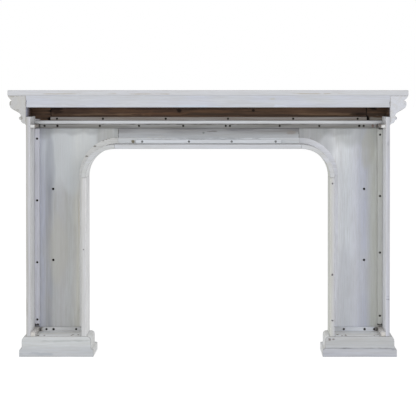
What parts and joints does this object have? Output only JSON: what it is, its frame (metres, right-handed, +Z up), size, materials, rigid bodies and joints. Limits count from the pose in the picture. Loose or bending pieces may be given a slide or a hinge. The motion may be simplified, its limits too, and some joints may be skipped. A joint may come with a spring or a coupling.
{
  "type": "fireplace mantelpiece",
  "caption": "Whitewashed wooden fireplace surround with a moulded shelf, hollow legs on moulded feet and an opening with rounded upper corners, open at the back.",
  "frame": {"origin": "on the floor, under the middle of the whole piece", "axes": "+Z up, +X along the shelf to the right of someone facing the front, -Y to the front, +Y to the wall"},
  "size_m": [1.98, 0.333, 1.32],
  "materials": {
    "whitewashed_wood": "thin cool-white wash rubbed over wood, matt, with faint grain and worn edges",
    "grey_wood": "thin grey wash on sawn wood, matt",
    "bare_wood": "dark brown bare sawn wood, matt"
  },
  "bodies": {
    "root": {"shelf_board": "whitewashed_wood", "rear_rail": "whitewashed_wood", "crown_front": "whitewashed_wood", "crown_return_left": "whitewashed_wood", "crown_return_right": "whitewashed_wood", "crown_backing_left": "bare_wood", "crown_backing_centre": "bare_wood", "crown_backing_right": "bare_wood", "deck_board": "whitewashed_wood", "deck_cleat": "grey_wood", "top_batten": "grey_wood", "outer_panel_left": "whitewashed_wood", "outer_panel_right": "whitewashed_wood", "jamb_panel_left": "whitewashed_wood", "jamb_panel_right": "whitewashed_wood", "front_panel_left": "whitewashed_wood", "front_panel_right": "whitewashed_wood", "arch_corner_left": "whitewashed_wood", "arch_corner_right": "whitewashed_wood", "arch_head": "whitewashed_wood", "lintel_board": "whitewashed_wood", "lintel_batten": "whitewashed_wood", "jamb_band_left": "whitewashed_wood", "jamb_band_right": "whitewashed_wood", "corner_band_left": "whitewashed_wood", "corner_band_right": "whitewashed_wood", "head_band": "whitewashed_wood", "upright_cleat_left": "whitewashed_wood", "upright_cleat_right": "whitewashed_wood", "foot_batten_left": "whitewashed_wood", "foot_batten_right": "whitewashed_wood", "top_side_cleat_left": "whitewashed_wood", "top_side_cleat_right": "whitewashed_wood", "foot_side_cleat_left": "whitewashed_wood", "foot_side_cleat_right": "whitewashed_wood", "floor_board_left": "whitewashed_wood", "floor_board_right": "whitewashed_wood", "base_rear_left": "whitewashed_wood", "base_rear_right": "whitewashed_wood", "base_front_left": "whitewashed_wood", "base_front_right": "whitewashed_wood", "base_outer_left": "whitewashed_wood", "base_outer_right": "whitewashed_wood", "base_inner_left": "whitewashed_wood", "base_inner_right": "whitewashed_wood", "pilaster_left": "whitewashed_wood", "pilaster_right": "whitewashed_wood", "frieze_panel": "whitewashed_wood"}
  },
  "joints": []
}
